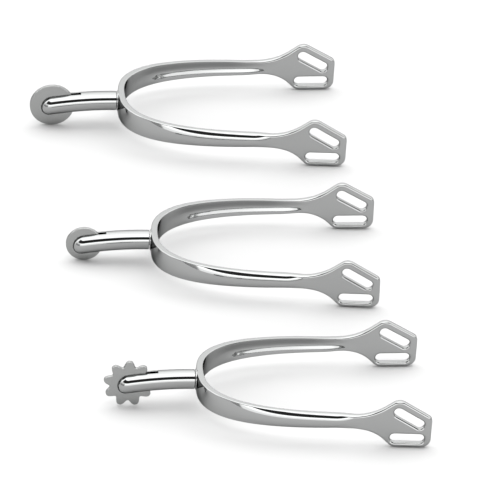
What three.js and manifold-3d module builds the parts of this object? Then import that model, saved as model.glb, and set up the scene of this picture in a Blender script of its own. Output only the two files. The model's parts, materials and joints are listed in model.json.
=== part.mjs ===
// A set of three riding spurs of one pattern: a U-shaped heel band with a slotted strap plate on each
// arm, and a round neck that carries a rowel. The rowels are a large disc, a small disc and a star.
// Millimetres, +Z up. Each spur points backwards along -X, with its arms towards +X, and stands on
// the floor on its rowel and its two plates.

import * as THREE from 'three';
import { mergeVertices } from 'three/addons/utils/BufferGeometryUtils.js';
import Module from 'manifold-3d';

const wasm = await Module();
wasm.setup();

// Heel band. In a spur's own frame the outermost bend of the centreline is the origin.
const BAND_HALF_WIDTH = 34;
const BAND_DEPTH = 59; // from the heel to where the arms run straight
const BAND_SQUARENESS = 2.5; // exponent of the superellipse that the heel follows
const BAND_HEIGHT_HEEL = 10.2;
const BAND_HEIGHT_ARM = 6.4;
const ARM_HEIGHT_X = 70; // where the arm is down to BAND_HEIGHT_ARM
const BAND_THICKNESS_HEEL = 3.2;
const BAND_THICKNESS_ARM = 3.9;
const BAND_THICKNESS_END = 2.9; // inside the plate
const CROWN_HEEL = 0.35; // how far the crowned outside falls away at its edges
const CROWN_ARM = 2.0;
const CROWN_LEAST = 0.05; // even where it has run out
const CROWN_PLACES = [-1, -0.7, -0.35, 0.35, 0.7, 1]; // shares of the half height
const ARM_SECTION_X = 38; // where the band has its full thickness and crown
const PLATE_BLEND_X = [57, 70]; // where they run out towards the plate
const BAND_CHAMFER = 0.4;
const ARM_SPLAY = 0.045; // sideways run of an arm for each mm forwards
const SPLAY_EASE = 12; // half the length over which the splay sets in
const ARM_END_X = 78;
const BAND_STEPS = 44;

// Strap plates: the outline's corners, as x, z and corner radius
const PLATE_THICKNESS = 3;
const PLATE_BEVEL = 0.7;
const PLATE_ROOT = { x: 65, halfHeight: 3.35 };
const PLATE_UPPER_FLARE = { bendX: 72.3, endX: 78.7, endZ: 7.6 };
const PLATE_LOWER_FLARE = { bendX: 73, endX: 78.1, endZ: -7.6 };
const PLATE_PEAK = [84.9, 12.1, 4.5];
const PLATE_FRONT_TOP = [99.8, 3.25, 3.2];
const PLATE_FRONT_BOTTOM = [99.6, -11.6, 4.2];
const PLATE_BACK_BOTTOM = [82.2, -11.6, 4.5];
const SLOT_LENGTH = 15.2;
const UPPER_SLOT_WIDTH = 4.4;
const LOWER_SLOT_WIDTH = 4.3;
const UPPER_SLOT_INSET = 5.6; // from the plate's slanted edge to the slot's centreline
const UPPER_SLOT_ALONG = 8.8; // from the plate's peak to the slot's centre, along the edge
const LOWER_SLOT_CENTRE = [89.15, -7.2];

// Boss behind the heel, and the neck
const BOSS_RADIUS = 4.35;
const NECK_RISE = 0.9; // how far the boss and neck sit above the band's centreline
const BOSS_END = 1.95; // where it meets the neck, behind the band's centreline
const BOSS_FLARE_RADIUS = 8.5;
const BOSS_FLARE_START = 0.6;
const BOSS_DEPTH = 0.8; // how far it reaches into the band
const JOINT_GAP = 0.25;
const NECK_TIP_RADIUS = 4.45;
const NECK_LENGTH = 36.2; // from the band's centreline to the rounded end
const NECK_DROOP = 2.4; // how far the neck's centreline has sunk at the rowel
const NECK_SLOT_WIDTH = 2.0;
const ROWEL_X = -31.1;
const STUD_RADIUS = 2.5;
const STUD_FRONT_X = 0.3;
const STUD_BACK_X = -8.2;
const STUD_CLEARANCE = 0.2;

// Rowels and their pins
const ROWEL_THICKNESS = 1.6;
const ROWEL_BEVEL = 0.3;
const ROWEL_BORE_RADIUS = 1.75;
const PIN_RADIUS = 1.5;
const PIN_LENGTH = 8.3;
const PIN_CLEARANCE = 0.12;
const LARGE_DISC_RADIUS = 10.05;
const SMALL_DISC_RADIUS = 8.1;
const STAR_TIP_RADIUS = 11.15;
const STAR_ROOT_RADIUS = 8.35;
const STAR_TEETH = 9;
const TOOTH_SHARPNESS = 0.94; // from 0 for a plain wave to 1 for straight-sided points
const TOOTH_SLIMNESS = 1.45; // the higher, the wider the notches

// Where each spur stands: its heel, its turn about the vertical, and how far its neck is slotted
const SPURS = [
  { name: 'large_disc', x: -7.6, y: 125, yaw: 0.5, neckSlotEnd: -18.2,
    rowelRadius: LARGE_DISC_RADIUS, outline: discOutline(LARGE_DISC_RADIUS) },
  { name: 'small_disc', x: 0.1, y: 0.6, yaw: -1.8, neckSlotEnd: -21.3,
    rowelRadius: SMALL_DISC_RADIUS, outline: discOutline(SMALL_DISC_RADIUS) },
  { name: 'star', x: 12.5, y: -127, yaw: 1.2, neckSlotEnd: -18.3,
    rowelRadius: STAR_TIP_RADIUS, outline: starOutline() },
];

const STEEL = { color: 0xc4c8ca, roughness: 0.12, metalness: 1 };
const NECK_STEEL = { color: 0xbfc3c6, roughness: 0.14, metalness: 1 };
const ROWEL_STEEL = { color: 0xa9adad, roughness: 0.2, metalness: 1 };
const PIN_STEEL = { color: 0x9a9ea2, roughness: 0.3, metalness: 1 };

// ---- Solids ----

function solid(geometry) {
  const bare = geometry.clone();
  bare.deleteAttribute('normal');
  bare.deleteAttribute('uv');
  const merged = mergeVertices(bare, 1e-4);
  const vertProperties = new Float32Array(merged.attributes.position.array);
  const triVerts = new Uint32Array(merged.index.array);
  return new wasm.Manifold(new wasm.Mesh({ numProp: 3, vertProperties, triVerts }));
}

function geometryOf(manifold) {
  const mesh = manifold.getMesh();
  const geometry = new THREE.BufferGeometry();
  geometry.setAttribute('position', new THREE.BufferAttribute(mesh.vertProperties, 3));
  geometry.setIndex(new THREE.BufferAttribute(mesh.triVerts, 1));
  geometry.computeVertexNormals();
  return geometry;
}

function moveVertices(geometry, move) {
  const position = geometry.attributes.position;
  const point = new THREE.Vector3();
  for (let i = 0; i < position.count; i += 1) {
    move(point.fromBufferAttribute(position, i));
    position.setXYZ(i, point.x, point.y, point.z);
  }
  return geometry;
}

// A box from its limits along each axis
function block(x0, x1, y0, y1, z0, z1) {
  const box = new THREE.BoxGeometry(x1 - x0, y1 - y0, z1 - z0);
  return box.translate((x0 + x1) / 2, (y0 + y1) / 2, (z0 + z1) / 2);
}

// A flat shape in the X-Z plane, thickened evenly to both sides of y = 0
function slab(shape, thickness, bevel, curveSegments) {
  const geometry = new THREE.ExtrudeGeometry(shape, {
    depth: thickness - 2 * bevel,
    bevelEnabled: bevel > 0,
    bevelThickness: bevel,
    bevelSize: bevel,
    bevelOffset: -bevel,
    bevelSegments: 1,
    curveSegments,
  });
  return geometry.translate(0, 0, bevel - thickness / 2).rotateX(Math.PI / 2);
}

// ---- Outlines ----

// Runs a path round a corner with an arc that touches both of its sides
function roundCorner(path, before, corner, after) {
  const [x, z, radius] = corner;
  const toBefore = new THREE.Vector2(before[0] - x, before[1] - z).normalize();
  const toAfter = new THREE.Vector2(after[0] - x, after[1] - z).normalize();
  const halfAngle = Math.acos(toBefore.dot(toAfter)) / 2;
  const middle = toBefore.clone().add(toAfter).normalize();
  const centre = middle.multiplyScalar(radius / Math.sin(halfAngle)).add(new THREE.Vector2(x, z));
  const reach = radius / Math.tan(halfAngle);
  const start = toBefore.multiplyScalar(reach).add(new THREE.Vector2(x, z)).sub(centre);
  const end = toAfter.multiplyScalar(reach).add(new THREE.Vector2(x, z)).sub(centre);
  path.absarc(centre.x, centre.y, radius, start.angle(), end.angle(), true);
}

function slotHole(x, z, length, width, angle) {
  const hole = new THREE.Path();
  const radius = width / 2;
  const reach = length / 2 - radius;
  const dx = reach * Math.cos(angle);
  const dz = reach * Math.sin(angle);
  hole.absarc(x + dx, z + dz, radius, angle - Math.PI / 2, angle + Math.PI / 2, false);
  hole.absarc(x - dx, z - dz, radius, angle + Math.PI / 2, angle + 1.5 * Math.PI, false);
  hole.closePath();
  return hole;
}

function plateShape() {
  const upper = PLATE_UPPER_FLARE;
  const lower = PLATE_LOWER_FLARE;
  const root = PLATE_ROOT;
  const shape = new THREE.Shape();
  shape.moveTo(root.x, root.halfHeight);
  shape.quadraticCurveTo(upper.bendX, root.halfHeight, upper.endX, upper.endZ);
  const corners = [
    [upper.endX, upper.endZ],
    PLATE_PEAK,
    PLATE_FRONT_TOP,
    PLATE_FRONT_BOTTOM,
    PLATE_BACK_BOTTOM,
    [lower.endX, lower.endZ],
  ];
  for (let i = 1; i < corners.length - 1; i += 1) {
    roundCorner(shape, corners[i - 1], corners[i], corners[i + 1]);
  }
  shape.lineTo(lower.endX, lower.endZ);
  shape.quadraticCurveTo(lower.bendX, -root.halfHeight, root.x, -root.halfHeight);
  shape.closePath();

  const edge = new THREE.Vector2(PLATE_FRONT_TOP[0] - PLATE_PEAK[0], PLATE_FRONT_TOP[1] - PLATE_PEAK[1]);
  const slant = Math.atan2(edge.y, edge.x);
  edge.normalize();
  const upperX = PLATE_PEAK[0] + edge.x * UPPER_SLOT_ALONG + edge.y * UPPER_SLOT_INSET;
  const upperZ = PLATE_PEAK[1] + edge.y * UPPER_SLOT_ALONG - edge.x * UPPER_SLOT_INSET;
  shape.holes.push(slotHole(upperX, upperZ, SLOT_LENGTH, UPPER_SLOT_WIDTH, slant));
  shape.holes.push(slotHole(...LOWER_SLOT_CENTRE, SLOT_LENGTH, LOWER_SLOT_WIDTH, 0));
  return shape;
}

function discOutline(radius) {
  return new THREE.Shape().absarc(0, 0, radius, 0, 2 * Math.PI, false);
}

// Blunt triangular teeth: the radius swings between tip and root
function starOutline() {
  const pointsPerTooth = 8;
  const points = [];
  for (let i = 0; i < STAR_TEETH * pointsPerTooth; i += 1) {
    const turn = i / pointsPerTooth;
    const angle = Math.PI / 2 + (2 * Math.PI * turn) / STAR_TEETH;
    const swing = Math.asin(TOOTH_SHARPNESS * Math.cos(2 * Math.PI * turn)) / Math.asin(TOOTH_SHARPNESS);
    const height = Math.sin((Math.PI / 4) * (1 + swing)) ** TOOTH_SLIMNESS;
    const radius = STAR_ROOT_RADIUS + (STAR_TIP_RADIUS - STAR_ROOT_RADIUS) * height;
    points.push(new THREE.Vector2(radius * Math.cos(angle), radius * Math.sin(angle)));
  }
  return new THREE.Shape(points);
}

// ---- Heel band ----

function armSpread(x) {
  const run = x - BAND_DEPTH;
  if (run < -SPLAY_EASE) return 0;
  if (run > SPLAY_EASE) return ARM_SPLAY * run;
  return (ARM_SPLAY * (run + SPLAY_EASE) ** 2) / (4 * SPLAY_EASE);
}

function bandHeight(x) {
  const share = Math.min(Math.max(x / ARM_HEIGHT_X, 0), 1);
  return BAND_HEIGHT_HEEL + (BAND_HEIGHT_ARM - BAND_HEIGHT_HEEL) * share;
}

// The U seen from above, from the end of one arm round the heel to the end of the other
class BandCentreline extends THREE.Curve {
  getPoint(t, target = new THREE.Vector3()) {
    const heelShare = 0.72;
    const way = Math.abs(2 * t - 1);
    const angle = (Math.min(way / heelShare, 1) * Math.PI) / 2;
    const armShare = Math.max(way - heelShare, 0) / (1 - heelShare);
    const power = 2 / BAND_SQUARENESS;
    const heelX = BAND_DEPTH * (1 - Math.max(Math.cos(angle), 0) ** power);
    const x = heelX + armShare * (ARM_END_X - BAND_DEPTH);
    const y = BAND_HALF_WIDTH * Math.sin(angle) ** power + armSpread(x);
    return target.set(x, Math.sign(t - 0.5) * y, 0);
  }
}

// Eases from 0 to 1 between two places
function eased(x, low, high) {
  const share = Math.min(Math.max((x - low) / (high - low), 0), 1);
  return share * share * (3 - 2 * share);
}

// The band's section at a place along it, as points [outwards, height]: flat inside, crowned outside
function bandSection(x) {
  const half = bandHeight(x) / 2;
  const swell = eased(x, 0, ARM_SECTION_X);
  const runOut = eased(x, ...PLATE_BLEND_X);
  const full = BAND_THICKNESS_HEEL + (BAND_THICKNESS_ARM - BAND_THICKNESS_HEEL) * swell;
  const thick = (full + (BAND_THICKNESS_END - full) * runOut) / 2;
  const crown = (CROWN_HEEL + (CROWN_ARM - CROWN_HEEL) * swell) * (1 - runOut) + CROWN_LEAST;
  const radius = (half ** 2 + crown ** 2) / (2 * crown);
  const edge = half - BAND_CHAMFER / 2;
  const section = [
    [-thick + BAND_CHAMFER, half],
    [-thick, half - BAND_CHAMFER],
    [-thick, -half + BAND_CHAMFER],
    [-thick + BAND_CHAMFER, -half],
    [thick - crown - BAND_CHAMFER, -half],
  ];
  for (const share of CROWN_PLACES) {
    const height = share * edge;
    section.push([thick - radius + Math.sqrt(radius ** 2 - height ** 2), height]);
  }
  section.push([thick - crown - BAND_CHAMFER, half]);
  return section;
}

function bandGeometry() {
  const centreline = new BandCentreline();
  const corners = [];
  for (let i = 0; i <= BAND_STEPS; i += 1) {
    const t = i / BAND_STEPS;
    const place = centreline.getPoint(t);
    const along = centreline.getTangent(t);
    for (const [outwards, height] of bandSection(place.x)) {
      corners.push(place.x - along.y * outwards, place.y + along.x * outwards, height);
    }
  }
  const around = corners.length / 3 / (BAND_STEPS + 1);
  const triangles = [];
  for (let i = 0; i < BAND_STEPS; i += 1) {
    for (let j = 0; j < around; j += 1) {
      const a = i * around + j;
      const b = i * around + ((j + 1) % around);
      triangles.push(a, b, b + around, a, b + around, a + around);
    }
  }
  const end = BAND_STEPS * around;
  for (let j = 1; j < around - 1; j += 1) {
    triangles.push(0, j + 1, j, end, end + j, end + j + 1);
  }
  const band = new THREE.BufferGeometry();
  band.setAttribute('position', new THREE.Float32BufferAttribute(corners, 3));
  band.setIndex(triangles);
  return band;
}

function plateGeometry(side) {
  const plate = slab(plateShape(), PLATE_THICKNESS, PLATE_BEVEL, 3);
  return moveVertices(plate, (point) => {
    point.y += side * (BAND_HALF_WIDTH + ARM_SPLAY * (point.x - BAND_DEPTH));
  });
}

// A round boss that flares out onto the band, and is cut off level with the band's edges
function bossSolid() {
  const flareSteps = 4;
  const profile = [new THREE.Vector2(0, -BOSS_DEPTH), new THREE.Vector2(BOSS_FLARE_RADIUS, -BOSS_DEPTH)];
  for (let i = 0; i <= flareSteps; i += 1) {
    const angle = ((i / flareSteps) * Math.PI) / 2;
    const radius = BOSS_FLARE_RADIUS + (BOSS_RADIUS - BOSS_FLARE_RADIUS) * Math.sin(angle);
    const reach = BOSS_FLARE_START + (BOSS_END - BOSS_FLARE_START) * (1 - Math.cos(angle));
    profile.push(new THREE.Vector2(radius, reach));
  }
  profile.push(new THREE.Vector2(0, BOSS_END));
  const flare = new THREE.LatheGeometry(profile, 24).rotateZ(Math.PI / 2).translate(0, 0, NECK_RISE);
  const half = BAND_HEIGHT_HEEL / 2;
  const limits = block(-10, 2, -10, 10, -half, half);
  return solid(flare).intersect(solid(limits));
}

function studHole() {
  const radius = STUD_RADIUS + STUD_CLEARANCE;
  const front = STUD_FRONT_X + STUD_CLEARANCE;
  const back = STUD_BACK_X - STUD_CLEARANCE;
  const hole = new THREE.CylinderGeometry(radius, radius, front - back, 16);
  return solid(hole.rotateZ(Math.PI / 2).translate((front + back) / 2, 0, NECK_RISE));
}

function heelBandGeometry() {
  let band = solid(bandGeometry()).add(bossSolid());
  for (const side of [-1, 1]) {
    band = band.add(solid(plateGeometry(side)));
  }
  return geometryOf(band.subtract(studHole()));
}

// ---- Neck, stud, rowel and pin ----

const NECK_START = BOSS_END + JOINT_GAP;

// The height of the neck's centreline at a place along it
function neckHeight(x) {
  const share = Math.max((-x - NECK_START) / (-ROWEL_X - NECK_START), 0);
  return NECK_RISE - NECK_DROOP * share ** 2;
}

function neckGeometry(slotEnd) {
  const rings = 6;
  const tipStart = NECK_LENGTH - NECK_TIP_RADIUS;
  const profile = [new THREE.Vector2(0, NECK_START)];
  for (let i = 0; i < rings; i += 1) {
    const share = i / rings;
    const radius = BOSS_RADIUS + (NECK_TIP_RADIUS - BOSS_RADIUS) * share;
    profile.push(new THREE.Vector2(radius, NECK_START + (tipStart - NECK_START) * share));
  }
  const tipSteps = 5;
  for (let i = 0; i < tipSteps; i += 1) {
    const angle = ((i / tipSteps) * Math.PI) / 2;
    const reach = tipStart + NECK_TIP_RADIUS * Math.sin(angle);
    profile.push(new THREE.Vector2(NECK_TIP_RADIUS * Math.cos(angle), reach));
  }
  profile.push(new THREE.Vector2(0, NECK_LENGTH));
  const rod = new THREE.LatheGeometry(profile, 24).rotateZ(Math.PI / 2);
  moveVertices(rod, (point) => {
    point.z += neckHeight(point.x);
  });
  const halfSlot = NECK_SLOT_WIDTH / 2;
  const slot = block(-NECK_LENGTH - 5, slotEnd, -halfSlot, halfSlot, -10, 10);
  const holeRadius = PIN_RADIUS + PIN_CLEARANCE;
  const pinHole = new THREE.CylinderGeometry(holeRadius, holeRadius, 20, 20);
  pinHole.translate(ROWEL_X, 0, neckHeight(ROWEL_X));
  return geometryOf(solid(rod).subtract(solid(slot)).subtract(solid(pinHole)).subtract(studHole()));
}

function studGeometry() {
  const length = STUD_FRONT_X - STUD_BACK_X;
  const stud = new THREE.CylinderGeometry(STUD_RADIUS, STUD_RADIUS, length, 16);
  return stud.rotateZ(Math.PI / 2).translate((STUD_FRONT_X + STUD_BACK_X) / 2, 0, NECK_RISE);
}

function rowelGeometry(outline) {
  outline.holes.push(new THREE.Path().absarc(0, 0, ROWEL_BORE_RADIUS, 0, 2 * Math.PI, true));
  return slab(outline, ROWEL_THICKNESS, ROWEL_BEVEL, 18);
}

// The pin runs across the neck and ends flush with its cheeks
function pinGeometry() {
  return new THREE.CylinderGeometry(PIN_RADIUS, PIN_RADIUS, PIN_LENGTH, 20);
}

// ---- Assembly ----

function piece(name, geometry, finish) {
  const mesh = new THREE.Mesh(geometry, new THREE.MeshStandardMaterial(finish));
  mesh.name = name;
  return mesh;
}

// Tips the spur about the heel so that its rowel and its plates stand at one height
function pitchOf(spur) {
  const rowelFoot = neckHeight(ROWEL_X) - spur.rowelRadius;
  const plateFoot = PLATE_BACK_BOTTOM[1];
  const frontFootX = PLATE_FRONT_BOTTOM[0] - PLATE_FRONT_BOTTOM[2];
  const backFootX = PLATE_BACK_BOTTOM[0] + 1.9;
  const footX = rowelFoot < plateFoot ? frontFootX : backFootX;
  return Math.atan2(plateFoot - rowelFoot, footX - ROWEL_X);
}

function makeSpur(spur) {
  const group = new THREE.Group();
  group.add(piece(`${spur.name}_heel_band`, heelBandGeometry(), STEEL));
  group.add(piece(`${spur.name}_neck`, neckGeometry(spur.neckSlotEnd), NECK_STEEL));
  group.add(piece(`${spur.name}_neck_stud`, studGeometry(), PIN_STEEL));
  const rowel = piece(`${spur.name}_rowel`, rowelGeometry(spur.outline), ROWEL_STEEL);
  const pin = piece(`${spur.name}_rowel_pin`, pinGeometry(), PIN_STEEL);
  for (const part of [rowel, pin]) {
    part.position.set(ROWEL_X, 0, neckHeight(ROWEL_X));
    group.add(part);
  }
  group.rotation.set(0, pitchOf(spur), THREE.MathUtils.degToRad(spur.yaw), 'ZYX');
  group.position.set(spur.x, spur.y, 0);
  group.position.z = -new THREE.Box3().setFromObject(group, true).min.z;
  return group;
}

const set = new THREE.Group();
for (const spur of SPURS) {
  set.add(makeSpur(spur));
}

// The origin is below the middle of the set, on the floor
const middle = new THREE.Box3().setFromObject(set, true).getCenter(new THREE.Vector3());
set.position.set(-middle.x, -middle.y, 0);

export default set;
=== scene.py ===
"""Looks for a set of three riding spurs: polished steel heel bands, round slotted necks and rowels.

Every shape is worked out in millimetres in a spur's own frame: the heel is the origin, the arms run
towards +X and the rowel lies towards -X. Each piece is then set on its own spur and scaled to metres.
"""

import json
import math

import bpy
import numpy as np
from mathutils import Matrix, Vector
from mathutils.geometry import delaunay_2d_cdt


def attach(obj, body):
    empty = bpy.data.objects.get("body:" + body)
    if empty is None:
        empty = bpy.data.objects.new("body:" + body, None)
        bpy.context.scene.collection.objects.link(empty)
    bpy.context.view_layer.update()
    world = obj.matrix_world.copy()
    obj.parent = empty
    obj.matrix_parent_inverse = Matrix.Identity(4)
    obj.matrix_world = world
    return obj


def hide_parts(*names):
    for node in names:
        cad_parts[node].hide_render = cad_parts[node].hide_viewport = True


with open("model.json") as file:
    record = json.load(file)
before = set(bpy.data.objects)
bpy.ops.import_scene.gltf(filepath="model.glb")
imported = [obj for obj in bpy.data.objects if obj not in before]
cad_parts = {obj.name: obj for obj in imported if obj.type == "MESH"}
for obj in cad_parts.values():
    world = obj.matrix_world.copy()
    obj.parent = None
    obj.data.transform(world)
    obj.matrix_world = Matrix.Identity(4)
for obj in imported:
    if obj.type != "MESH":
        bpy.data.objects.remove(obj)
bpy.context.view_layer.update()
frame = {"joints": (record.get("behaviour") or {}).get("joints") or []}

MM = 0.001

# Heel band
BAND_HALF_WIDTH = 34.0
BAND_DEPTH = 59.0
BAND_SQUARENESS = 2.5
BAND_THICKNESS_HEEL = 3.2
BAND_THICKNESS_ARM = 3.9
BAND_HEIGHT_HEEL = 10.2
BAND_HEIGHT_ARM = 6.4
ARM_HEIGHT_X = 70.0
ARM_SECTION_X = 38.0     # where the band has its full thickness and crown
PLATE_BLEND_X = (57.0, 70.0)
CENTRELINE_END = 104.0   # a little past the plates
ARM_SPLAY = 0.045
SPLAY_EASE = 12.0
CROWN_HEEL = 0.35        # how far the band's crowned outside falls away at its edges
CROWN_ARM = 2.0
HOLLOW_DEPTH = 0.85      # of the groove that is ground along the inside
HOLLOW_MIDDLE = 0.1      # the groove's middle and half width, as shares of the half height
HOLLOW_REACH = 0.8
HOLLOW_START = (2.0, 19.0)
HOLLOW_END = (60.0, 74.0)
# Painted shade: the band's inside is darkened in its base colour beside the heel and in the arms' upper
# half, standing in for darker reflections inside the U
PAINTED_SHADE_CENTRE = 45.0       # the middle of the U, round which the band's inside gets painted shade
PAINTED_SHADE_START = (2.0, 17.0)
PAINTED_SHADE_HEEL = (8.0, 24.0)
PAINTED_SHADE_END = (50.0, 68.0)
PAINTED_SHADE_RISE = (-0.4, 0.9)
PAINTED_SHADE_FACING = (0.3, 0.7)
PAINTED_SHADE_FACTOR = 0.62
BAND_EDGE_OUTER = 0.4
BAND_EDGE_INNER = 0.4

# Strap plates
PLATE_THICKNESS = 3.0
PLATE_EDGE = 1.15
PLATE_ROOT = (65.0, 3.35)
UPPER_FLARE = ((72.3, 3.35), (78.7, 7.6))
LOWER_FLARE = ((73.0, -3.35), (78.1, -7.6))
PLATE_PEAK = (84.9, 12.095, 4.5)     # a hair under the CAD's, as this rounding is finer than its own
PLATE_FRONT_TOP = (99.8, 3.25, 3.2)
PLATE_FRONT_BOTTOM = (99.6, -11.6, 4.2)
PLATE_BACK_BOTTOM = (82.2, -11.6, 4.5)
BACK_FOOT_INSET = 1.9    # from that corner to about where its rounding meets the bottom edge
SLOT_LENGTH = 15.2
UPPER_SLOT_WIDTH = 4.4
LOWER_SLOT_WIDTH = 4.3
UPPER_SLOT_INSET = 5.6
UPPER_SLOT_ALONG = 8.8
LOWER_SLOT_CENTRE = (89.15, -7.2)
SLOT_LIP = 1.1

# Boss, neck, stud
BOSS_RADIUS = 4.35
BOSS_START = 0.9
BOSS_END = 1.95
BOSS_EDGE = 0.12
BOSS_FILLET = 1.3        # how far the fillet reaches out round the boss
BOSS_FILLET_HEIGHT = 0.3     # how high it climbs
NECK_RISE = 0.9
JOINT_GAP = 0.25
NECK_START = BOSS_END + JOINT_GAP
NECK_TIP_RADIUS = 4.45
NECK_LENGTH = 36.2
NECK_DROOP = 2.4
NECK_SLOT_WIDTH = 2.0
NECK_EDGE = 0.18
CHEEK_EASE = 0.22        # radius of the cheeks' corners
CHEEK_EASE_SHARE = 0.3   # the most of a cheek's thickness that the radius may take
TIP_MARGIN = 0.03        # of cheek left beside the slot at the very tip
STUD_RADIUS = 2.5
STUD_ENDS = (0.3, -8.2)
STUD_EDGE = 0.3

# Rowels and pins
ROWEL_X = -31.1
ROWEL_THICKNESS = 1.6
ROWEL_EDGE = 0.35
ROWEL_BORE_RADIUS = 1.75
ROWEL_BORE_EDGE = 0.25
PIN_RADIUS = 1.5
PIN_LENGTH = 8.3
PIN_EDGE = 0.2
LARGE_DISC_RADIUS = 10.05
SMALL_DISC_RADIUS = 8.1
STAR_TIP_RADIUS = 11.15
STAR_ROOT_RADIUS = 8.35
STAR_TEETH = 9
TOOTH_SHARPNESS = 0.94
TOOTH_SLIMNESS = 1.45

# Fineness of the meshes
EDGE_STEPS = 6
RUN_STEP = 0.05
HEADING_BLUR = 10        # how many steps each way the band's direction is averaged over
OUTLINE_STEP = 0.45
GRID_FOOT = -12.0        # the staggered grid of points that fills a face
GRID_TOP = 13.0
GRID_ALONG = 0.85
GRID_UP = 0.62
GRID_SHIFT = 0.42
GRID_CLEAR = 0.33        # kept free beside an edge
BOSS_RINGS = (4.1, 4.35, 4.5, 4.7, 4.95, 5.3, 5.7)
BOSS_RING_STEP = 0.45
BOSS_RING_REACH = (3.8, 6.0)     # where the rings stand in for the grid
NECK_ROWS = 60
CHEEK_ROWS = 44
TIP_ROWS = 30
TOOTH_POINTS = 56
DISC_POINTS = 240

# Steel
SPECULAR_TINT = 0.22
CLOUD_SCALE = 55.0
PATCH_SCALE = 170.0
HAIR_ROUGHNESS = 0.65
POLISH_RANGE = (0.1, 0.5)        # of hairlines times patches, spread over the whole roughness
BUMP_DEPTH = 0.00002

# Floor
FLOOR_HALF_WIDTH = 12.0
FLOOR_DROP = 0.0002
FLOOR_SHADES = (0.565, 0.575)

# Light: a white tent. Heights are degrees above the horizon, azimuths are degrees round from the
# camera's side, and tilts run from that side's horizon (0) over the top (90) to the back (180).
TENT_LIGHT = 3.3
GAP_HEIGHTS = (27.0, 59.0)       # the tent's opening
GAP_AZIMUTHS = (-84.0, 84.0)
GAP_SOFT_HEIGHT = 1.5
GAP_SOFT_AZIMUTH = 8.0
GAP_SHARE = 0.985                # of the light, lost in the opening
FRONT_AZIMUTHS = (-95.0, 95.0)
FRONT_SOFT = 10.0
WING_TOP = (27.0, 24.0)          # two dimmer panels low at the sides of the front
WING_MIDDLE = (-40.0, 50.0)
WING_SOFT = 1.5
WING_LOSS = 1.6
CARD_TOP = (20.0, 10.0)          # a dimmer card low across the front
CARD_LOSS = 1.1
BEHIND_TILTS = (97.0, 142.0)     # a dimmer strip behind the top
BEHIND_SOFT = 14.0
BEHIND_LOSS = 0.7
BACK_TILTS = (120.0, 150.0)      # the dimmer back
BACK_LOSS = 1.15
BELOW_HEIGHTS = (2.0, -2.0)      # everything under the horizon
BELOW_SHARE = 0.6

SPURS = (
    {"name": "large_disc", "slot_end": -18.2, "radius": LARGE_DISC_RADIUS, "teeth": 0},
    {"name": "small_disc", "slot_end": -21.3, "radius": SMALL_DISC_RADIUS, "teeth": 0},
    {"name": "star", "slot_end": -18.3, "radius": STAR_TIP_RADIUS, "teeth": STAR_TEETH},
)


# ---- Mesh building ----

class Surface:
    """Points, normals and faces in a spur's own frame, in millimetres."""

    def __init__(self):
        self.points = []
        self.normals = []
        self.faces = []
        self.count = 0
        self.turned = False

    def add(self, points, normals):
        first = self.count
        points = np.asarray(points, float).reshape(-1, 3)
        normals = np.asarray(normals, float).reshape(-1, 3)
        length = np.linalg.norm(normals, axis=1, keepdims=True)
        self.points.append(points)
        self.normals.append(normals / np.maximum(length, 1e-9))
        self.count += len(points)
        return first

    def strip(self, lower, upper, count):
        """Quads between two closed rows of points that start at the indices lower and upper."""
        for i in range(count):
            j = (i + 1) % count
            self.faces.append((lower + i, lower + j, upper + j, upper + i))

    def lattice(self, points, normals=None):
        """A tube of rows by columns, where each row of points closes on itself."""
        rows, columns = points.shape[:2]
        if normals is None:
            normals = lattice_normals(points)
        first = self.add(points, normals)
        for r in range(rows - 1):
            self.strip(first + r * columns, first + (r + 1) * columns, columns)

    def cap(self, ring, normal):
        """A flat end over a closed row of points."""
        ring = np.asarray(ring, float)
        middle = ring.mean(axis=0)
        first = self.add(np.vstack([ring, middle]), np.tile(normal, (len(ring) + 1, 1)))
        centre = first + len(ring)
        for i in range(len(ring)):
            j = (i + 1) % len(ring)
            self.faces.append((first + i, first + j, centre))


def lattice_normals(points):
    """Directions straight out of a tube of points."""
    across = np.gradient(points, axis=0)
    around = np.roll(points, -1, axis=1) - np.roll(points, 1, axis=1)
    normals = np.cross(around, across)
    length = np.linalg.norm(normals, axis=2, keepdims=True)
    normals = normals / np.maximum(length, 1e-12)
    from_middle = points - points.mean(axis=(0, 1))
    return normals if np.sum(normals * from_middle) > 0 else -normals


def facing_out(points, normals, faces):
    """The same faces, each turned the way that its points' normals look."""
    turned = []
    for face in faces:
        a, b, c = points[face[0]], points[face[1]], points[face[2]]
        straight = np.cross(b - a, c - a)
        if len(face) == 4:
            straight = straight + np.cross(c - a, points[face[3]] - a)
        turned.append(face if straight @ normals[list(face)].sum(axis=0) > 0 else face[::-1])
    return turned


def painted_inside_shade(points, normals):
    """How much painted shade the band's inside gets at each point: beside the heel, and in the arms' upper
    half. It darkens the base colour, standing in for darker reflections.
    """
    x, y, z = points.T
    reach = np.hypot(x - PAINTED_SHADE_CENTRE, y)
    facing_in = -(normals[:, 0] * (x - PAINTED_SHADE_CENTRE) + normals[:, 1] * y) / np.maximum(reach, 1e-6)
    heel = 1.0 - smooth(x, *PAINTED_SHADE_HEEL)
    along = smooth(x, *PAINTED_SHADE_START) * (1.0 - smooth(x, *PAINTED_SHADE_END))
    return smooth(facing_in, *PAINTED_SHADE_FACING) * along * np.maximum(heel, smooth(z, *PAINTED_SHADE_RISE))


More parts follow.
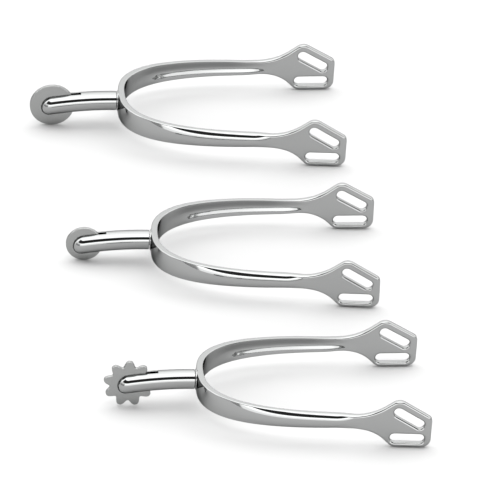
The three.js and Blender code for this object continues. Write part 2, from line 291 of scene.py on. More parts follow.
def make_piece(name, surface, spur, material, body, nodes):
    """Sets a surface on its spur as a Blender piece that stands for the CAD nodes."""
    points = np.vstack(surface.points)
    normals = np.vstack(surface.normals)
    if not surface.turned:
        surface.faces = facing_out(points, normals, surface.faces)
        surface.turned = True
    place = np.array(spur["matrix"])
    # Painted shade for the band's inside, kept on the mesh as a point attribute that darkens its base
    # colour
    painted_shade = painted_inside_shade(points, normals) if surface is BAND else np.zeros(len(points))
    points = (points @ place[:3, :3].T + place[:3, 3]) * MM
    normals = normals @ place[:3, :3].T
    mesh = bpy.data.meshes.new(name)
    mesh.from_pydata(points.tolist(), [], [list(f) for f in surface.faces])
    mesh.update()
    mesh.polygons.foreach_set("use_smooth", [True] * len(mesh.polygons))
    mesh.normals_split_custom_set_from_vertices(normals.tolist())
    mesh.materials.append(material)
    mesh.attributes.new("painted_shade", "FLOAT", "POINT").data.foreach_set("value", painted_shade)
    piece = bpy.data.objects.new(name, mesh)
    bpy.context.scene.collection.objects.link(piece)
    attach(piece, body)
    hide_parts(*nodes)


# ---- The band's centreline, unrolled by its length ----

def smooth(value, low, high):
    """An eased share that runs from 0 at low to 1 at high."""
    share = np.clip((value - low) / (high - low), 0.0, 1.0)
    return share * share * (3.0 - 2.0 * share)


def arm_spread(x):
    """How far an arm has spread outwards: eased in, then straight."""
    run = x - BAND_DEPTH
    eased = ARM_SPLAY * (run + SPLAY_EASE) ** 2 / (4.0 * SPLAY_EASE)
    return np.where(run < -SPLAY_EASE, 0.0, np.where(run > SPLAY_EASE, ARM_SPLAY * run, eased))


def centreline():
    """One half of the band's middle line: lengths along it in even steps, places and headings."""
    power = 2.0 / BAND_SQUARENESS
    angle = np.linspace(0.0, math.pi / 2, 4001)
    x = BAND_DEPTH * (1.0 - np.clip(np.cos(angle), 0.0, 1.0) ** power)
    y = BAND_HALF_WIDTH * np.sin(angle) ** power
    straight = np.linspace(BAND_DEPTH, CENTRELINE_END, 901)[1:]
    x = np.concatenate([x, straight])
    y = np.concatenate([y, np.full(straight.shape, BAND_HALF_WIDTH)]) + arm_spread(x)
    run = np.concatenate([[0.0], np.cumsum(np.hypot(np.diff(x), np.diff(y)))])
    even = np.arange(0.0, run[-1], RUN_STEP)
    x = np.interp(even, run, x)
    y = np.interp(even, run, y)
    heading = np.arctan2(np.gradient(y), np.gradient(x))
    heading[0] = math.pi / 2
    kernel = np.ones(2 * HEADING_BLUR + 1) / (2 * HEADING_BLUR + 1)
    padded = np.pad(heading, HEADING_BLUR, mode="edge")
    padded[:HEADING_BLUR] = math.pi - heading[HEADING_BLUR:0:-1]
    return even, x, y, np.convolve(padded, kernel, mode="valid")


RUN, RUN_X, RUN_Y, RUN_HEADING = centreline()


def x_at(s):
    return np.interp(np.abs(s), RUN, RUN_X)


def run_at(x):
    return np.interp(x, RUN_X, RUN)


def band_frame(s):
    """Place on the centreline, direction along it and direction outwards, for signed lengths s."""
    s = np.asarray(s, float)
    side = np.where(s < 0.0, -1.0, 1.0)
    heading = np.interp(np.abs(s), RUN, RUN_HEADING)
    zero = np.zeros(s.shape)
    centre = np.stack([x_at(s), side * np.interp(np.abs(s), RUN, RUN_Y), zero], axis=-1)
    forward = np.stack([side * np.cos(heading), np.sin(heading), zero], axis=-1)
    outward = np.stack([-forward[..., 1], forward[..., 0], zero], axis=-1)
    return centre, forward, outward


def half_height(x):
    share = np.clip(x / ARM_HEIGHT_X, 0.0, 1.0)
    return 0.5 * (BAND_HEIGHT_HEEL + (BAND_HEIGHT_ARM - BAND_HEIGHT_HEEL) * share)


def swell(x):
    """0 at the heel, 1 where the arm has its full section."""
    return smooth(x, 0.0, ARM_SECTION_X)


def band_share(x):
    """1 along the band, 0 where it has become the flat plate."""
    return 1.0 - smooth(x, *PLATE_BLEND_X)


def half_thickness(x):
    full = BAND_THICKNESS_HEEL + (BAND_THICKNESS_ARM - BAND_THICKNESS_HEEL) * swell(x)
    return 0.5 * (PLATE_THICKNESS + (full - PLATE_THICKNESS) * band_share(x))


def outer_face(s, z):
    """How far outside the centreline the band's outer face lies."""
    x = x_at(s)
    half = half_height(x)
    crown = CROWN_HEEL + (CROWN_ARM - CROWN_HEEL) * swell(x)
    radius = (half ** 2 + crown ** 2) / (2.0 * crown)
    height = np.clip(z, -half, half)
    drop = radius - np.sqrt(radius ** 2 - height ** 2)
    distance = np.hypot(s, z - NECK_RISE)
    near = np.clip((distance - BOSS_RADIUS) / BOSS_FILLET, 0.0, 1.0)
    fillet = BOSS_FILLET_HEIGHT * (1.0 - np.sqrt(np.maximum(1.0 - (1.0 - near) ** 2, 0.0)))
    return half_thickness(x) - band_share(x) * drop + fillet


def inner_face(s, z):
    """How far outside the centreline the inner face lies: always less than zero."""
    x = x_at(s)
    across = np.clip((z / half_height(x) - HOLLOW_MIDDLE) / HOLLOW_REACH, -1.0, 1.0)
    depth = HOLLOW_DEPTH * (1.0 - smooth(x, *HOLLOW_END)) * smooth(x, *HOLLOW_START)
    return -half_thickness(x) + depth * (1.0 - across ** 2) ** 2


def face_points(s, z, face, sign):
    """Points on one face of the band and the directions straight out of it."""
    step = 0.02
    centre, forward, outward = band_frame(s)
    offset = face(s, z)
    slope_s = (face(s + step, z) - face(s - step, z)) / (2.0 * step)
    slope_z = (face(s, z + step) - face(s, z - step)) / (2.0 * step)
    points = centre + outward * offset[..., None]
    points[..., 2] += z
    up = np.array([0.0, 0.0, 1.0])
    normals = outward - forward * slope_s[..., None] - up * slope_z[..., None]
    normals = sign * normals / np.linalg.norm(normals, axis=-1, keepdims=True)
    return points, normals


# ---- Outlines of the unrolled band, as length along it and height ----

def bezier(start, bend, end, steps):
    t = np.linspace(0.0, 1.0, steps)[:, None]
    start, bend, end = np.array(start), np.array(bend), np.array(end)
    return (1 - t) ** 2 * start + 2 * t * (1 - t) * bend + t ** 2 * end


def rounded_corner(before, corner, after, steps=24):
    """The arc that rounds a corner, given as place and radius, between its neighbours."""
    x, z, radius = corner
    point = np.array([x, z])
    to_before = np.array(before[:2]) - point
    to_after = np.array(after[:2]) - point
    to_before = to_before / np.linalg.norm(to_before)
    to_after = to_after / np.linalg.norm(to_after)
    half = math.acos(float(to_before @ to_after)) / 2
    middle = to_before + to_after
    centre = point + middle / np.linalg.norm(middle) * radius / math.sin(half)
    start = point + to_before * radius / math.tan(half) - centre
    end = point + to_after * radius / math.tan(half) - centre
    a0 = math.atan2(start[1], start[0])
    a1 = math.atan2(end[1], end[0])
    if a1 > a0:
        a1 -= 2 * math.pi
    angle = np.linspace(a0, a1, steps)
    return centre + radius * np.stack([np.cos(angle), np.sin(angle)], axis=1)


def resample(loop, spacing):
    """A closed loop again, in even steps of about the spacing."""
    closed = np.vstack([loop, loop[:1]])
    length = np.concatenate([[0.0], np.cumsum(np.linalg.norm(np.diff(closed, axis=0), axis=1))])
    count = int(round(length[-1] / spacing))
    even = np.arange(count) * length[-1] / count
    return np.stack([np.interp(even, length, closed[:, k]) for k in (0, 1)], axis=1)


def band_outline():
    """The unrolled band's edge all the way round, and the directions out of it."""
    s_edge = np.linspace(0.0, float(run_at(PLATE_ROOT[0])), 160)
    z_edge = half_height(x_at(s_edge))
    corners = [UPPER_FLARE[1], PLATE_PEAK, PLATE_FRONT_TOP, PLATE_FRONT_BOTTOM,
               PLATE_BACK_BOTTOM, LOWER_FLARE[1]]
    plate = [bezier(PLATE_ROOT, *UPPER_FLARE, 28)[1:]]
    for i in range(1, len(corners) - 1):
        plate.append(rounded_corner(corners[i - 1], corners[i], corners[i + 1]))
    foot = (PLATE_ROOT[0], -PLATE_ROOT[1])
    plate.append(bezier(LOWER_FLARE[1], LOWER_FLARE[0], foot, 28)[:-1])
    plate = np.vstack(plate)
    plate[:, 0] = run_at(plate[:, 0])
    top = np.stack([s_edge, z_edge], axis=1)
    bottom = np.stack([s_edge, -z_edge], axis=1)[::-1]
    far = np.vstack([top, plate, bottom])
    near = far[::-1][1:-1] * np.array([-1.0, 1.0])
    loop = resample(np.vstack([far, near]), OUTLINE_STEP)
    travel = np.roll(loop, -1, axis=0) - np.roll(loop, 1, axis=0)
    travel /= np.linalg.norm(travel, axis=1, keepdims=True)
    return loop, np.stack([-travel[:, 1], travel[:, 0]], axis=1)


def slot_outline(x, z, width, angle, side):
    """A slot's edge, and the directions from it into the plate."""
    radius = width / 2
    reach = SLOT_LENGTH / 2 - radius
    turn = np.linspace(-math.pi / 2, math.pi / 2, 25)
    straight = np.linspace(0.0, 1.0, 22)[1:-1]
    points, away = [], []
    for end in (1.0, -1.0):
        a = turn if end > 0 else turn + math.pi
        points.append(np.stack([end * reach + radius * np.cos(a), radius * np.sin(a)], axis=1))
        away.append(np.stack([np.cos(a), np.sin(a)], axis=1))
        run = end * reach * (1.0 - 2.0 * straight)
        points.append(np.stack([run, np.full(run.shape, end * radius)], axis=1))
        away.append(np.tile([0.0, end], (len(run), 1)))
    points, away = np.vstack(points), np.vstack(away)
    turned = np.array([[math.cos(angle), -math.sin(angle)], [math.sin(angle), math.cos(angle)]])
    points, away = points @ turned.T, away @ turned.T
    points[:, 0] = run_at(points[:, 0] + x)
    points[:, 1] += z
    return points * np.array([side, 1.0]), away * np.array([side, 1.0])


def slot_places():
    """Middle, width and slant of a plate's upper and lower slots."""
    along = np.array(PLATE_FRONT_TOP[:2]) - np.array(PLATE_PEAK[:2])
    slant = math.atan2(along[1], along[0])
    along = along / np.linalg.norm(along)
    x = PLATE_PEAK[0] + along[0] * UPPER_SLOT_ALONG + along[1] * UPPER_SLOT_INSET
    z = PLATE_PEAK[1] + along[1] * UPPER_SLOT_ALONG - along[0] * UPPER_SLOT_INSET
    return ((x, z, UPPER_SLOT_WIDTH, slant), (*LOWER_SLOT_CENTRE, LOWER_SLOT_WIDTH, 0.0))


def inside(points, loop):
    """Which of the points lie inside a closed loop."""
    x, z = points[:, 0][:, None], points[:, 1][:, None]
    x0, z0 = loop[:, 0][None], loop[:, 1][None]
    x1, z1 = np.roll(loop[:, 0], -1)[None], np.roll(loop[:, 1], -1)[None]
    spans = (z0 > z) != (z1 > z)
    rise = np.where(np.abs(z1 - z0) < 1e-12, 1e-12, z1 - z0)
    crossing = x < x0 + (z - z0) * (x1 - x0) / rise
    return (np.sum(spans & crossing, axis=1) % 2) == 1


def gap_to(points, loop):
    """Each point's distance to the nearest point of a loop."""
    nearest = np.full(len(points), 1e9)
    for start in range(0, len(loop), 200):
        part = loop[start:start + 200]
        apart = points[:, None] - part[None]
        distance = np.hypot(apart[..., 0], apart[..., 1])
        nearest = np.minimum(nearest, distance.min(axis=1))
    return nearest


def band_surface():
    surface = Surface()
    loop, outward = band_outline()
    share = band_share(x_at(loop[:, 0]))
    outer_round = PLATE_EDGE + (BAND_EDGE_OUTER - PLATE_EDGE) * share
    inner_round = PLATE_EDGE + (BAND_EDGE_INNER - PLATE_EDGE) * share
    borders = [(loop, outward, outer_round, inner_round)]
    for side in (-1.0, 1.0):
        for place in slot_places():
            points, away = slot_outline(*place, side)
            lip = np.full(len(points), SLOT_LIP)
            borders.append((points, -away, lip, lip))

    # Rounded edges: rings from the wall up to each face
    rims = []
    for points, out, outer, inner in borders:
        rim = []
        for face, sign, rounding in ((outer_face, 1.0, outer), (inner_face, -1.0, inner)):
            rows = []
            for k in range(EDGE_STEPS + 1):
                angle = k / EDGE_STEPS * math.pi / 2
                flat = points - out * (rounding * (1.0 - math.cos(angle)))[:, None]
                place, straight = face_points(flat[:, 0], flat[:, 1], face, sign)
                _, forward, across = band_frame(flat[:, 0])
                sunk = rounding * (1.0 - math.sin(angle))
                place = place - sign * across * sunk[:, None]
                edge = forward * out[:, :1]
                edge[:, 2] += out[:, 1]
                rows.append((flat, place, math.cos(angle) * edge + math.sin(angle) * straight))
            firsts = [surface.add(place, normal) for _, place, normal in rows]
            rim.append((firsts, rows[-1][0]))
        count = len(points)
        for firsts, _ in rim:
            for k in range(EDGE_STEPS):
                surface.strip(firsts[k], firsts[k + 1], count)
        surface.strip(rim[1][0][0], rim[0][0][0], count)
        rims.append(rim)

    # The faces between the rims
    for side, (face, sign) in enumerate(((outer_face, 1.0), (inner_face, -1.0))):
        edges = [rim[side][1] for rim in rims]
        fill_face(surface, edges, [rim[side][0][-1] for rim in rims], face, sign)
    return surface


def fill_face(surface, edges, firsts, face, sign):
    """Triangles between the rims of one face, finer round the boss."""
    s_values = np.arange(edges[0][:, 0].min(), edges[0][:, 0].max(), GRID_ALONG)
    z_values = np.arange(GRID_FOOT, GRID_TOP, GRID_UP)
    grid = np.stack(np.meshgrid(s_values, z_values), axis=-1).reshape(-1, 2)
    odd = np.round((grid[:, 1] - GRID_FOOT) / GRID_UP).astype(int) % 2 == 1
    grid[odd, 0] += GRID_SHIFT
    if sign > 0:
        rings = []
        for radius in BOSS_RINGS:
            turn = np.arange(0, 2 * math.pi, BOSS_RING_STEP / radius)
            rings.append(np.stack([radius * np.cos(turn), radius * np.sin(turn) + NECK_RISE], axis=1))
        far = np.hypot(grid[:, 0], grid[:, 1] - NECK_RISE)
        free = (far < BOSS_RING_REACH[0]) | (far > BOSS_RING_REACH[1])
        grid = np.vstack([grid[free]] + rings)
    keep = inside(grid, edges[0])
    for hole in edges[1:]:
        keep &= ~inside(grid, hole)
    for edge in edges:
        keep &= gap_to(grid, edge) > GRID_CLEAR
    grid = grid[keep]
    flat = np.vstack(edges + [grid])
    links = []
    start = 0
    for edge in edges:
        links += [(start + i, start + (i + 1) % len(edge)) for i in range(len(edge))]
        start += len(edge)
    found = delaunay_2d_cdt([Vector(p) for p in flat], links, [], 0, 1e-7)
    origin = [ids[0] if ids else -1 for ids in found[3]]
    triangles = np.array([[origin[v] for v in f] for f in found[2] if len(f) == 3])
    triangles = triangles[(triangles >= 0).all(axis=1)]
    middles = flat[triangles].mean(axis=1)
    keep = inside(middles, edges[0])
    for hole in edges[1:]:
        keep &= ~inside(middles, hole)
    triangles = triangles[keep]
    place, normal = face_points(grid[:, 0], grid[:, 1], face, sign)
    first = surface.add(place, normal)
    index = np.concatenate([np.arange(len(e)) + f for e, f in zip(edges, firsts)]
                           + [np.arange(len(grid)) + first])
    for triangle in index[triangles]:
        surface.faces.append(tuple(int(v) for v in triangle))


# ---- Turned pieces ----

def lathe(surface, profile, axis, centre, steps=96, ceiling=None):
    """Turns (radius, reach) points about the x or y axis through centre, cut off above a ceiling."""
    profile = np.asarray(profile, float)
    turn = np.arange(steps) / steps * 2 * math.pi
    radius, reach = profile[:, 0][:, None], profile[:, 1][:, None]
    a = radius * np.cos(turn)[None]
    b = radius * np.sin(turn)[None]
    along = np.broadcast_to(reach, a.shape)
    points = np.stack([along, a, b] if axis == "x" else [b, along, a], axis=-1) + np.array(centre)
    if ceiling is not None:
        points[..., 2] = np.minimum(points[..., 2], ceiling)
    surface.lattice(points)


def rounded_rod(radius, start, end, edge):
    """A rod's profile from one end's middle to the other's, with rounded rims."""
    way = 1.0 if end > start else -1.0
    turn = np.linspace(0.0, math.pi / 2, 6)
    first = [(radius - edge + edge * math.sin(t), start + way * (edge - edge * math.cos(t))) for t in turn]
    last = [(radius - edge + edge * math.cos(t), end - way * (edge - edge * math.sin(t))) for t in turn]
    inner = [(radius * share, start) for share in (0.001, 0.5, 0.9)]
    outer = [(radius * share, end) for share in (0.9, 0.5, 0.001)]
    middle = [(radius, start + (end - start) * share) for share in (0.1, 0.5, 0.9)]
    return inner + first + middle + last + outer


# ---- Neck ----

def neck_height(x):
    """The height of the neck's middle line, which droops towards the rowel."""
    share = np.maximum((-x - NECK_START) / (-ROWEL_X - NECK_START), 0.0)
    return NECK_RISE - NECK_DROOP * share ** 2


AXLE_HEIGHT = float(neck_height(np.array(ROWEL_X)))


def neck_radius(x):
    tip_start = NECK_LENGTH - NECK_TIP_RADIUS
    share = np.clip((-x - NECK_START) / (tip_start - NECK_START), 0.0, 1.0)
    radius = BOSS_RADIUS + (NECK_TIP_RADIUS - BOSS_RADIUS) * share
    past = np.clip(-x - tip_start, 0.0, NECK_TIP_RADIUS)
    return np.where(past > 0.0, np.sqrt(np.maximum(NECK_TIP_RADIUS ** 2 - past ** 2, 0.0)), radius)


def cheek_section(radius, side):
    """One cheek's section: a segment of the round, flat towards the rowel, with eased corners."""
    wall = NECK_SLOT_WIDTH / 2
    ease = min(CHEEK_EASE, (radius - wall) * CHEEK_EASE_SHARE)
    z = math.sqrt(max((radius - ease) ** 2 - (wall + ease) ** 2, 0.0))
    limit = math.atan2(z, wall + ease)
    arc = np.linspace(-limit, limit, 49)
    points = [np.stack([radius * np.cos(arc), radius * np.sin(arc)], axis=1)]
    corner = np.linspace(limit, math.pi, 9)[1:]
    points.append(np.stack([wall + ease + ease * np.cos(corner), z + ease * np.sin(corner)], axis=1))
    flat = np.linspace(1.0, -1.0, 14)[1:-1]
    points.append(np.stack([np.full(flat.shape, wall), flat * z], axis=1))
    corner = np.linspace(-math.pi, -limit, 9)[:-1]
    points.append(np.stack([wall + ease + ease * np.cos(corner), -z + ease * np.sin(corner)], axis=1))
    section = np.vstack(points)
    return section * np.array([side, 1.0])


def neck_surface(slot_end):
    """A round shank up to slot_end, then two cheeks with the rowel's slot between them."""
    surface = Surface()
    turn = np.arange(128) / 128 * 2 * math.pi
    eased = np.linspace(0.0, math.pi / 2, 6)
    stations = [(-NECK_START - NECK_EDGE * (1 - math.cos(a)), NECK_EDGE * (1 - math.sin(a)))
                for a in eased]
    stations += [(x, 0.0) for x in np.linspace(-NECK_START - 2 * NECK_EDGE, slot_end, NECK_ROWS)]
    rows = []
    for x, cut in stations:
        radius = float(neck_radius(np.array(x))) - cut
        z = float(neck_height(np.array(x)))
        round_y, round_z = radius * np.cos(turn), z + radius * np.sin(turn)
        rows.append(np.stack([np.full(turn.shape, x), round_y, round_z], axis=1))
    rows = np.array(rows)
    surface.lattice(rows)
    surface.cap(rows[0], (1.0, 0.0, 0.0))
    surface.cap(rows[-1], (-1.0, 0.0, 0.0))
    tip_start = -(NECK_LENGTH - NECK_TIP_RADIUS)
    last = math.acos((NECK_SLOT_WIDTH / 2 + TIP_MARGIN) / NECK_TIP_RADIUS)
    stations = list(np.linspace(slot_end, tip_start, CHEEK_ROWS))[:-1]
    stations += [tip_start - NECK_TIP_RADIUS * math.sin(a) for a in np.linspace(0.0, last, TIP_ROWS)]
    for side in (-1.0, 1.0):
        rows = []
        for x in stations:
            section = cheek_section(float(neck_radius(np.array(x))), side)
            z = float(neck_height(np.array(x)))
            rows.append(np.stack([np.full(len(section), x), section[:, 0], z + section[:, 1]], axis=1))
        rows = np.array(rows)
        surface.lattice(rows)
        surface.cap(rows[-1], (-1.0, 0.0, 0.0))
    return surface


# ---- Rowels ----

def rowel_outline(radius, teeth):
    """A rowel's edge, a circle or a star of teeth, and the directions out of it."""
    count = teeth * TOOTH_POINTS if teeth else DISC_POINTS
    turn = np.arange(count) / count
    angle = math.pi / 2 + 2 * math.pi * turn
    if teeth:
        swing = np.arcsin(TOOTH_SHARPNESS * np.cos(2 * math.pi * turn * teeth)) / math.asin(TOOTH_SHARPNESS)
        height = np.maximum(np.sin(math.pi / 4 * (1.0 + swing)), 0.0) ** TOOTH_SLIMNESS
        reach = STAR_ROOT_RADIUS + (radius - STAR_ROOT_RADIUS) * height
    else:
        reach = np.full(count, radius)
    loop = np.stack([reach * np.cos(angle), reach * np.sin(angle)], axis=1)
    travel = np.roll(loop, -1, axis=0) - np.roll(loop, 1, axis=0)
    travel /= np.linalg.norm(travel, axis=1, keepdims=True)
    return loop, np.stack([travel[:, 1], -travel[:, 0]], axis=1)


def rowel_surface(radius, teeth):
    """A rowel with a rounded rim and bore: out across one side, then back across the other."""
    surface = Surface()
    loop, out = rowel_outline(radius, teeth)
    around = loop / np.linalg.norm(loop, axis=1, keepdims=True)
    half = ROWEL_THICKNESS / 2
    centre = np.array([ROWEL_X, 0.0, AXLE_HEIGHT])
    rows, normals = [], []

    def row(flat, y, normal_flat, normal_y):
        rows.append(np.stack([flat[:, 0], np.full(len(flat), y), flat[:, 1]], axis=1) + centre)
        sideways = np.full(len(flat), normal_y)
        normals.append(np.stack([normal_flat[:, 0], sideways, normal_flat[:, 1]], axis=1))

    zero = np.zeros(loop.shape)
    for side in (-1.0, 1.0):
        angles = np.linspace(0.0, math.pi / 2, EDGE_STEPS + 1)
        bore = [(ROWEL_BORE_RADIUS + ROWEL_BORE_EDGE * (1 - math.cos(a)),
                 half - ROWEL_BORE_EDGE * (1 - math.sin(a)), a) for a in angles]
        rim = [(ROWEL_EDGE * (1 - math.cos(a)), half - ROWEL_EDGE * (1 - math.sin(a)), a) for a in angles]
        parts = []
        for reach, y, a in bore:
            parts.append((around * reach, y, -around * math.cos(a), math.sin(a)))
        inner = around * (ROWEL_BORE_RADIUS + ROWEL_BORE_EDGE)
        outer = loop - out * ROWEL_EDGE
        for share in (0.15, 0.35, 0.55, 0.75, 0.9):
            parts.append((inner + (outer - inner) * share, half, zero, 1.0))
        for inset, y, a in rim[::-1]:
            parts.append((loop - out * inset, y, out * math.cos(a), math.sin(a)))
        if side > 0:
            parts = parts[::-1]
        for flat, y, normal_flat, normal_y in parts:
            row(flat, side * y, normal_flat, side * normal_y)
    rows.append(rows[0])
    normals.append(normals[0])
    surface.lattice(np.array(rows), normals=np.array(normals))
    return surface


# ---- Materials ----

def noise(tree, place, scale, detail):
    """A noise texture laid out by the coordinates place."""
    texture = tree.nodes.new("ShaderNodeTexNoise")
    texture.inputs["Scale"].default_value = scale
    texture.inputs["Detail"].default_value = detail
    tree.links.new(place, texture.inputs["Vector"])
    return texture


def steel(name, colour, shade, roughness, grain, grain_scale, scratch):
    """Polished steel: faint cloudy colour, hairline marks, patches polished less finely, and painted shade
    where a piece's points carry it.
    """
    material = bpy.data.materials.new(name)
    material.use_nodes = True
    nodes = material.node_tree.nodes
    links = material.node_tree.links
    nodes.clear()
    output = nodes.new("ShaderNodeOutputMaterial")
    shader = nodes.new("ShaderNodeBsdfPrincipled")
    shader.inputs["Metallic"].default_value = 1.0
    shader.inputs["Specular Tint"].default_value = (*[SPECULAR_TINT] * 3, 1.0)
    links.new(shader.outputs["BSDF"], output.inputs["Surface"])
    place = nodes.new("ShaderNodeTexCoord")

    cloud = noise(material.node_tree, place.outputs["Object"], CLOUD_SCALE, 3.0)
    tint = nodes.new("ShaderNodeMix")
    tint.data_type = "RGBA"
    tint.inputs["A"].default_value = (*[c * shade for c in colour], 1.0)
    tint.inputs["B"].default_value = (*colour, 1.0)
    links.new(cloud.outputs["Fac"], tint.inputs["Factor"])
    # Painted shade: the base colour is darkened by a point attribute on the band's inside, standing in for
    # darker reflections inside the U
    inside = nodes.new("ShaderNodeAttribute")
    inside.attribute_name = "painted_shade"
    painted_shade_mix = nodes.new("ShaderNodeMix")
    painted_shade_mix.data_type = "RGBA"
    painted_shade_mix.blend_type = "MULTIPLY"
    painted_shade_mix.inputs["B"].default_value = (*[PAINTED_SHADE_FACTOR] * 3, 1.0)
    links.new(inside.outputs["Fac"], painted_shade_mix.inputs["Factor"])
    links.new(tint.outputs["Result"], painted_shade_mix.inputs["A"])
    links.new(painted_shade_mix.outputs["Result"], shader.inputs["Base Color"])

    stretch = nodes.new("ShaderNodeMapping")
    stretch.inputs["Scale"].default_value = grain
    links.new(place.outputs["Object"], stretch.inputs["Vector"])
    hair = noise(material.node_tree, stretch.outputs["Vector"], grain_scale, 5.0)
    hair.inputs["Roughness"].default_value = HAIR_ROUGHNESS

    patch = noise(material.node_tree, place.outputs["Object"], PATCH_SCALE, 2.0)
    both = nodes.new("ShaderNodeMath")
    both.operation = "MULTIPLY"
    links.new(hair.outputs["Fac"], both.inputs[0])
    links.new(patch.outputs["Fac"], both.inputs[1])
    polish = nodes.new("ShaderNodeMapRange")
    polish.inputs["From Min"].default_value = POLISH_RANGE[0]
    polish.inputs["From Max"].default_value = POLISH_RANGE[1]
    polish.inputs["To Min"].default_value = roughness[0]
    polish.inputs["To Max"].default_value = roughness[1]
    links.new(both.outputs["Value"], polish.inputs["Value"])
    links.new(polish.outputs["Result"], shader.inputs["Roughness"])

    bump = nodes.new("ShaderNodeBump")
    bump.inputs["Strength"].default_value = scratch
    bump.inputs["Distance"].default_value = BUMP_DEPTH
    links.new(hair.outputs["Fac"], bump.inputs["Height"])
    links.new(bump.outputs["Normal"], shader.inputs["Normal"])
    return material


MATERIALS = {
    "band": steel("band_steel", colour=(0.368, 0.373, 0.371), shade=0.95, roughness=(0.05, 0.09),
                  grain=(12.0, 12.0, 160.0), grain_scale=9.0, scratch=0.06),
    "neck": steel("neck_steel", colour=(0.345, 0.35, 0.348), shade=0.96, roughness=(0.05, 0.09),
                  grain=(10.0, 120.0, 120.0), grain_scale=9.0, scratch=0.05),
    "rowel": steel("rowel_steel", colour=(0.335, 0.34, 0.336), shade=0.94, roughness=(0.16, 0.24),
                   grain=(130.0, 20.0, 130.0), grain_scale=14.0, scratch=0.12),
    "pin": steel("pin_steel", colour=(0.35, 0.35, 0.355), shade=0.9, roughness=(0.2, 0.3),
                 grain=(60.0, 60.0, 60.0), grain_scale=20.0, scratch=0.2),
}


# ---- The three spurs ----

def place_spur(spur):
    """The spur's own frame: its rowel pin gives the place, its lowest points give the pitch."""
    joint = next(j for j in frame["joints"] if j["name"] == f"{spur['name']}_rowel_spin")
    pin = Vector(joint["pos_m"]) / MM
    yaw = math.atan2(-joint["axis"][0], joint["axis"][1])
    rowel_foot = AXLE_HEIGHT - spur["radius"]
    plate_foot = PLATE_BACK_BOTTOM[1]
    front_foot = PLATE_FRONT_BOTTOM[0] - PLATE_FRONT_BOTTOM[2]
    back_foot = PLATE_BACK_BOTTOM[0] + BACK_FOOT_INSET
    foot = front_foot if rowel_foot < plate_foot else back_foot
    pitch = math.atan2(plate_foot - rowel_foot, foot - ROWEL_X)
    turn = Matrix.Rotation(yaw, 4, "Z") @ Matrix.Rotation(pitch, 4, "Y")
    heel = pin - turn.to_3x3() @ Vector((ROWEL_X, 0.0, AXLE_HEIGHT))
    return Matrix.Translation(heel) @ turn


BAND = band_surface()
lathe(BAND, [(r, -x) for r, x in rounded_rod(BOSS_RADIUS, BOSS_START, BOSS_END, BOSS_EDGE)],
      "x", (0.0, 0.0, NECK_RISE), steps=128, ceiling=BAND_HEIGHT_HEEL / 2)
STUD = Surface()
lathe(STUD, rounded_rod(STUD_RADIUS, *STUD_ENDS, STUD_EDGE), "x", (0.0, 0.0, NECK_RISE))
PIN = Surface()
lathe(PIN, rounded_rod(PIN_RADIUS, PIN_LENGTH / 2, -PIN_LENGTH / 2, PIN_EDGE), "y",
      (ROWEL_X, 0.0, AXLE_HEIGHT))

for spur in SPURS:
    name = spur["name"]
    spur["matrix"] = place_spur(spur)
    body = f"spur_{name}"
    make_piece(f"{name}_band_looks", BAND, spur, MATERIALS["band"], body,
               [f"{name}_heel_band"])
    make_piece(f"{name}_neck_looks", neck_surface(spur["slot_end"]), spur, MATERIALS["neck"],
               body, [f"{name}_neck"])
    make_piece(f"{name}_stud_looks", STUD, spur, MATERIALS["pin"], body,
               [f"{name}_neck_stud"])
    make_piece(f"{name}_pin_looks", PIN, spur, MATERIALS["pin"], body,
               [f"{name}_rowel_pin"])
    make_piece(f"{name}_rowel_looks", rowel_surface(spur["radius"], spur["teeth"]), spur,
               MATERIALS["rowel"], f"rowel_{name}", [f"{name}_rowel"])


# ---- Floor, light and camera ----

def make_floor():
    """A wide sheet of pale paper under the spurs."""
    mesh = bpy.data.meshes.new("floor")
    half = FLOOR_HALF_WIDTH
    corners = [(-half, -half, 0), (half, -half, 0), (half, half, 0), (-half, half, 0)]
    mesh.from_pydata(corners, [], [(0, 1, 2, 3)])
    material = bpy.data.materials.new("floor_paper")
    material.use_nodes = True
    nodes = material.node_tree.nodes
    shader = nodes["Principled BSDF"]
    grain = nodes.new("ShaderNodeTexNoise")
    grain.inputs["Scale"].default_value = 40.0
    shade = nodes.new("ShaderNodeMix")
    shade.data_type = "RGBA"
    for side, grey in zip("AB", FLOOR_SHADES):
        shade.inputs[side].default_value = (grey, grey, grey, 1.0)
    material.node_tree.links.new(grain.outputs["Fac"], shade.inputs["Factor"])
    material.node_tree.links.new(shade.outputs["Result"], shader.inputs["Base Color"])
    shader.inputs["Roughness"].default_value = 1.0
    shader.inputs["Specular IOR Level"].default_value = 0.0
    mesh.materials.append(material)
    floor = bpy.data.objects.new("floor", mesh)
    bpy.context.scene.collection.objects.link(floor)
    floor.location.z = -FLOOR_DROP


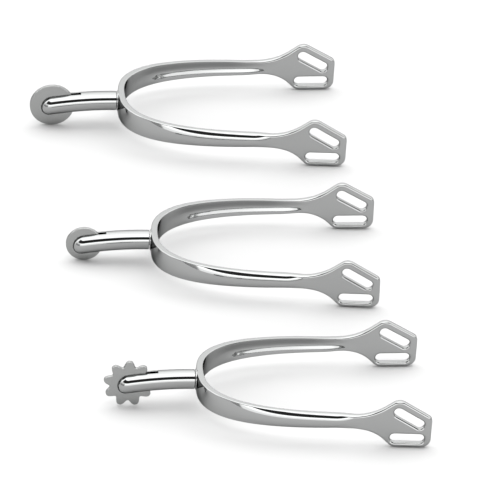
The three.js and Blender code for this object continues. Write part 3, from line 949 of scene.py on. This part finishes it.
def make_light():
    """A white studio tent that is open in a dark band above the camera's side."""
    world = bpy.data.worlds.new("studio")
    bpy.context.scene.world = world
    world.use_nodes = True
    nodes = world.node_tree.nodes
    links = world.node_tree.links
    nodes.clear()
    output = nodes.new("ShaderNodeOutputWorld")
    sky = nodes.new("ShaderNodeBackground")
    links.new(sky.outputs["Background"], output.inputs["Surface"])
    place = nodes.new("ShaderNodeTexCoord")
    parts = nodes.new("ShaderNodeSeparateXYZ")
    links.new(place.outputs["Generated"], parts.inputs["Vector"])

    def math_node(operation, first, second=None):
        node = nodes.new("ShaderNodeMath")
        node.operation = operation
        for socket, value in zip(node.inputs, (first, second)):
            if value is None:
                continue
            if isinstance(value, (int, float)):
                socket.default_value = value
            else:
                links.new(value, socket)
        return node.outputs["Value"]

    def ramp(value, low, high):
        node = nodes.new("ShaderNodeMapRange")
        node.interpolation_type = "SMOOTHSTEP"
        node.inputs["From Min"].default_value = math.radians(low)
        node.inputs["From Max"].default_value = math.radians(high)
        links.new(value, node.inputs["Value"])
        return node.outputs["Result"]

    def window(value, low, high, soft):
        rise = ramp(value, low - soft, low + soft)
        return math_node("MULTIPLY", rise, ramp(value, high + soft, high - soft))

    towards_camera = math_node("MULTIPLY", parts.outputs["Y"], -1.0)
    height = math_node("ARCSINE", parts.outputs["Z"])
    azimuth = math_node("ARCTAN2", parts.outputs["X"], towards_camera)
    tilt = math_node("ARCTAN2", parts.outputs["Z"], towards_camera)

    gap = math_node("MULTIPLY", window(height, *GAP_HEIGHTS, GAP_SOFT_HEIGHT),
                    window(azimuth, *GAP_AZIMUTHS, GAP_SOFT_AZIMUTH))
    front = window(azimuth, *FRONT_AZIMUTHS, FRONT_SOFT)
    sides = math_node("SUBTRACT", 1.0, window(azimuth, *WING_MIDDLE, WING_SOFT))
    wings = math_node("MULTIPLY", math_node("MULTIPLY", ramp(height, *WING_TOP), sides), front)
    card = math_node("MULTIPLY", front, ramp(height, *CARD_TOP))
    behind = window(tilt, *BEHIND_TILTS, BEHIND_SOFT)
    back = ramp(tilt, *BACK_TILTS)
    below = ramp(height, *BELOW_HEIGHTS)

    light = TENT_LIGHT
    for panel, loss in ((behind, BEHIND_LOSS), (back, BACK_LOSS), (wings, WING_LOSS), (card, CARD_LOSS)):
        light = math_node("SUBTRACT", light, math_node("MULTIPLY", panel, loss))
    for panel, share in ((gap, GAP_SHARE), (below, BELOW_SHARE)):
        left = math_node("SUBTRACT", 1.0, math_node("MULTIPLY", panel, share))
        light = math_node("MULTIPLY", light, left)
    links.new(light, sky.inputs["Strength"])
    sky.inputs["Color"].default_value = (1.0, 1.0, 1.0, 1.0)


def make_camera():
    """A far camera with a narrow view, turned, raised and rolled as the photo's was judged to be."""
    turned = math.radians(-5.3)
    raised = math.radians(29.53)
    rolled = math.radians(-3.36)
    target = Vector((10.204, -8.753, 11.4)) * MM
    distance = 8.0
    view_height = 0.22295
    level = math.cos(raised)
    back = Vector((math.sin(turned) * level, -math.cos(turned) * level, math.sin(raised)))
    right = Vector((math.cos(turned), math.sin(turned), 0.0))
    up = back.cross(right)
    axis_x = math.cos(rolled) * right - math.sin(rolled) * up
    axis_y = math.sin(rolled) * right + math.cos(rolled) * up
    data = bpy.data.cameras.new("camera")
    camera = bpy.data.objects.new("camera", data)
    bpy.context.scene.collection.objects.link(camera)
    turn = Matrix((axis_x, axis_y, back)).transposed().to_4x4()
    camera.matrix_world = Matrix.Translation(target + back * distance) @ turn
    data.sensor_width = 36.0
    data.lens = data.sensor_width * distance / view_height
    data.clip_start = 0.1
    data.clip_end = 60.0
    bpy.context.scene.camera = camera


make_floor()
make_light()
make_camera()
bpy.context.scene.view_settings.view_transform = "Standard"
